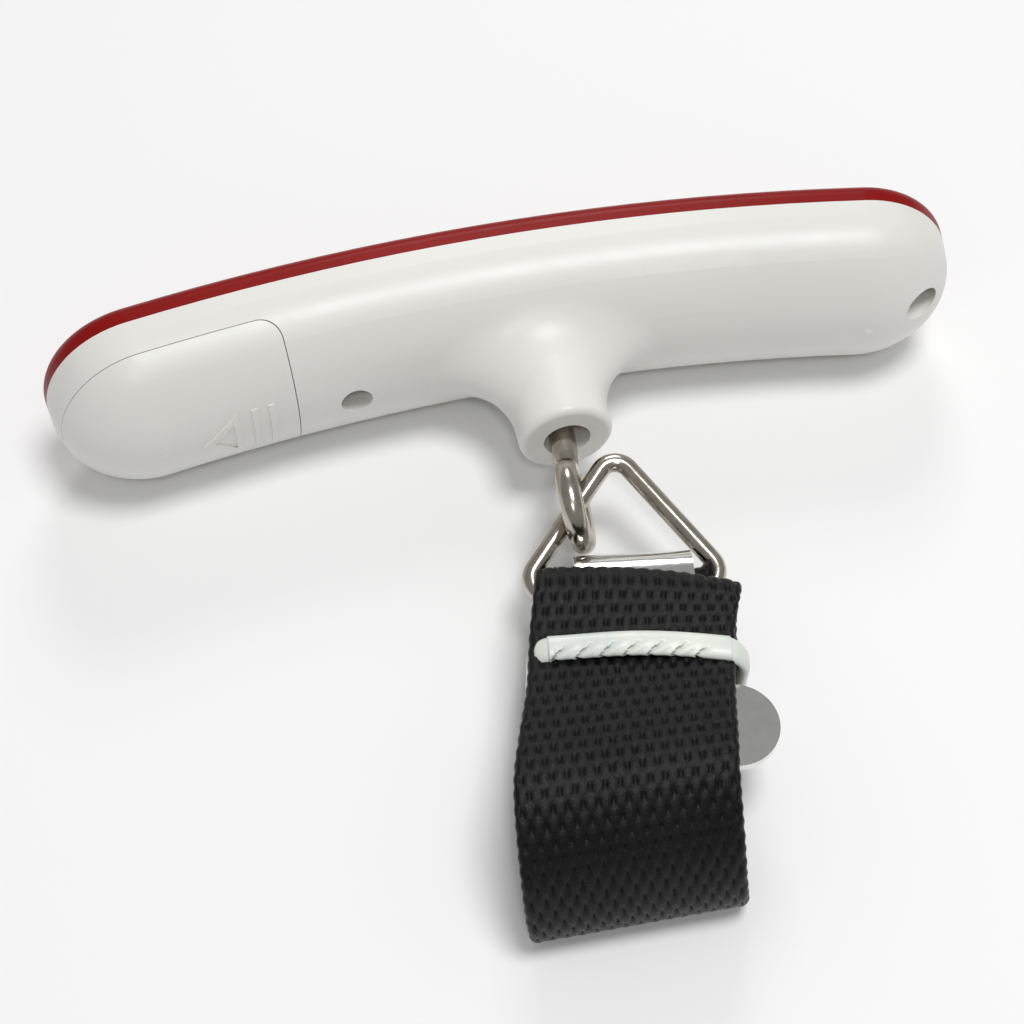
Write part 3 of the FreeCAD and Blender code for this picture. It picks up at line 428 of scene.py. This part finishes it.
strap, strap_length = webbing("webbing_outer", OUTER, node="webbing_belt")
inner, _ = webbing("webbing_inner", INNER, step=5)
core, _ = webbing("webbing_core", CORE, step=5)
loop, _ = webbing("webbing_loop", LOOP, step=6, thick=1.4, bend=round_corner)

# ---------------------------------------------------------------- tie

TIE_LEFT, TIE_RIGHT = -13.4, 13.3
TIE_LOW, TIE_HIGH = FLOOR + 0.9, 8.15
TIE_CORNER = 3.4
TIE_PLACE = -12.3  # along the belt
TIE_HALF_WIDTH, TIE_HALF_THICK = 1.75, 0.8
TIE_AROUND = 56  # points round its section
TWIST_PITCH = 3.0


def tie_path():
    """The tie's loop round the belt, seen from the handle, as x and z."""
    middle = (TIE_LOW + TIE_HIGH) / 2
    right, left = (TIE_RIGHT, TIE_HIGH), (TIE_LEFT, TIE_HIGH)
    corners = (right, left, (TIE_LEFT, TIE_LOW), (TIE_RIGHT, TIE_LOW))
    path = []
    for k, (cx, cz) in enumerate(corners):
        x = cx - math.copysign(TIE_CORNER, cx)
        z = cz - math.copysign(TIE_CORNER, cz - middle)
        for a in np.linspace(math.radians(90 * k), math.radians(90 * (k + 1)), 9):
            path.append((x + TIE_CORNER * math.cos(a), z + TIE_CORNER * math.sin(a)))
    line, _ = smooth_curve(path + path[:1], 0.2)
    return line[:-1], middle


def tie():
    """Plastic tie: smooth on the handle's side, twisted on the other, and arched with the belt."""
    line, middle = tie_path()
    tangent = np.roll(line, -1, axis=0) - np.roll(line, 1, axis=0)
    tangent /= np.linalg.norm(tangent, axis=1)[:, None]
    outward = np.stack([tangent[:, 1], -tangent[:, 0]], -1)
    x, z = line[:, 0], line[:, 1]
    above = np.clip((z - TIE_HIGH + 3) / 3, 0, 1)
    crown = 0.45 * np.cos(np.pi * np.clip((x - 0.5) / 25, -0.5, 0.5)) ** 2 * above
    centre_y = TIE_PLACE - 0.0046 * (x + 6) ** 2 * (x > -6)  # it slants away at its right
    twisted = np.clip((z - middle) / 3, 0, 1) * np.clip((11 - np.abs(x + 1.8)) / 2, 0, 1)
    n = len(line)
    points = np.zeros((n, TIE_AROUND, 3))
    for j in range(TIE_AROUND):
        a = 2 * math.pi * j / TIE_AROUND
        wide = TIE_HALF_WIDTH * math.copysign(abs(math.cos(a)) ** 0.8, math.cos(a))
        thick = TIE_HALF_THICK * math.sin(a)
        # Each turn of the twist is a slanting ridge with a sharp groove after it.
        turn = np.mod((1.3 * wide - x) / TWIST_PITCH, 1)
        ridge = turn**3 * 0.75 + 0.12 * np.sin(2 * np.pi * turn)
        groove = np.clip((0.1 - wide) / 1.3, 0, 1) * twisted * ridge
        lift = thick + crown - groove * (0.45 + 0.55 * max(0.0, math.sin(a)))
        points[:, j, 0] = x + outward[:, 0] * lift
        points[:, j, 1] = centre_y + wide + groove * 0.9
        points[:, j, 2] = z + outward[:, 1] * lift
    grid = np.arange(n * TIE_AROUND).reshape(n, TIE_AROUND)
    ahead, beside = np.roll(grid, -1, axis=0), np.roll(grid, -1, axis=1)
    both = np.roll(ahead, -1, axis=1)
    faces = np.stack([grid.ravel(), beside.ravel(), both.ravel(), ahead.ravel()], -1).tolist()
    belt_piece("tie_twisted", "tie_white", points.reshape(-1, 3), faces, "tie_band")


tie()

# ---------------------------------------------------------------- stage, light and camera


def stage():
    paint = Nodes("floor_pale")
    paint.set(Base_Color=srgb(246, 246, 246), Roughness=0.75)
    mesh = bpy.data.meshes.new("floor")
    made = bmesh.new()
    bmesh.ops.create_grid(made, x_segments=1, y_segments=1, size=3)
    made.to_mesh(mesh)
    made.free()
    mesh.materials.append(paint.material)
    floor = bpy.data.objects.new("floor", mesh)
    bpy.context.scene.collection.objects.link(floor)
    world = bpy.data.worlds.new("studio")
    world.use_nodes = True
    background = world.node_tree.nodes["Background"].inputs
    background["Color"].default_value = (1, 1, 1, 1)
    background["Strength"].default_value = 0.31
    bpy.context.scene.world = world
    bpy.context.scene.view_settings.view_transform = "Standard"


def light(name, place, size, power):
    """A round lamp that points at the origin: place and size in metres, power in watts."""
    data = bpy.data.lights.new(name, "AREA")
    data.shape = "DISK"
    data.size = size
    data.energy = power
    obj = bpy.data.objects.new(name, data)
    obj.location = place
    obj.rotation_euler = (-Vector(place)).to_track_quat("-Z", "Y").to_euler()
    bpy.context.scene.collection.objects.link(obj)


def camera(place, azimuth, elevation, roll, lens):
    """A camera in front of the object and above it: angles in degrees, the lens in mm."""
    azimuth, elevation, roll = (math.radians(a) for a in (azimuth, elevation, roll))
    towards = Vector((-math.sin(azimuth), -math.cos(azimuth), math.tan(elevation)))
    back = towards.normalized()
    right = Vector((math.cos(azimuth), -math.sin(azimuth), 0))
    up = back.cross(right)
    tilted_right = right * math.cos(roll) + up * math.sin(roll)
    tilted_up = up * math.cos(roll) - right * math.sin(roll)
    data = bpy.data.cameras.new("camera")
    data.sensor_width = 36
    data.lens = lens
    data.clip_start = 0.01
    obj = bpy.data.objects.new("camera", data)
    turn = Matrix((tilted_right, tilted_up, back)).transposed().to_4x4()
    obj.matrix_world = Matrix.Translation(place) @ turn
    bpy.context.scene.collection.objects.link(obj)
    bpy.context.scene.camera = obj


stage()
light("key", (0.14, -0.04, 0.85), 0.32, 3.75)
light("front", (-0.06, -0.34, 0.6), 0.07, 0.6)
light("rim", (0.15, 0.7, 0.55), 0.3, 1.6)
camera((-0.04019, -0.13413, 0.23808), azimuth=13.445, elevation=56.894, roll=1.04, lens=70.3)
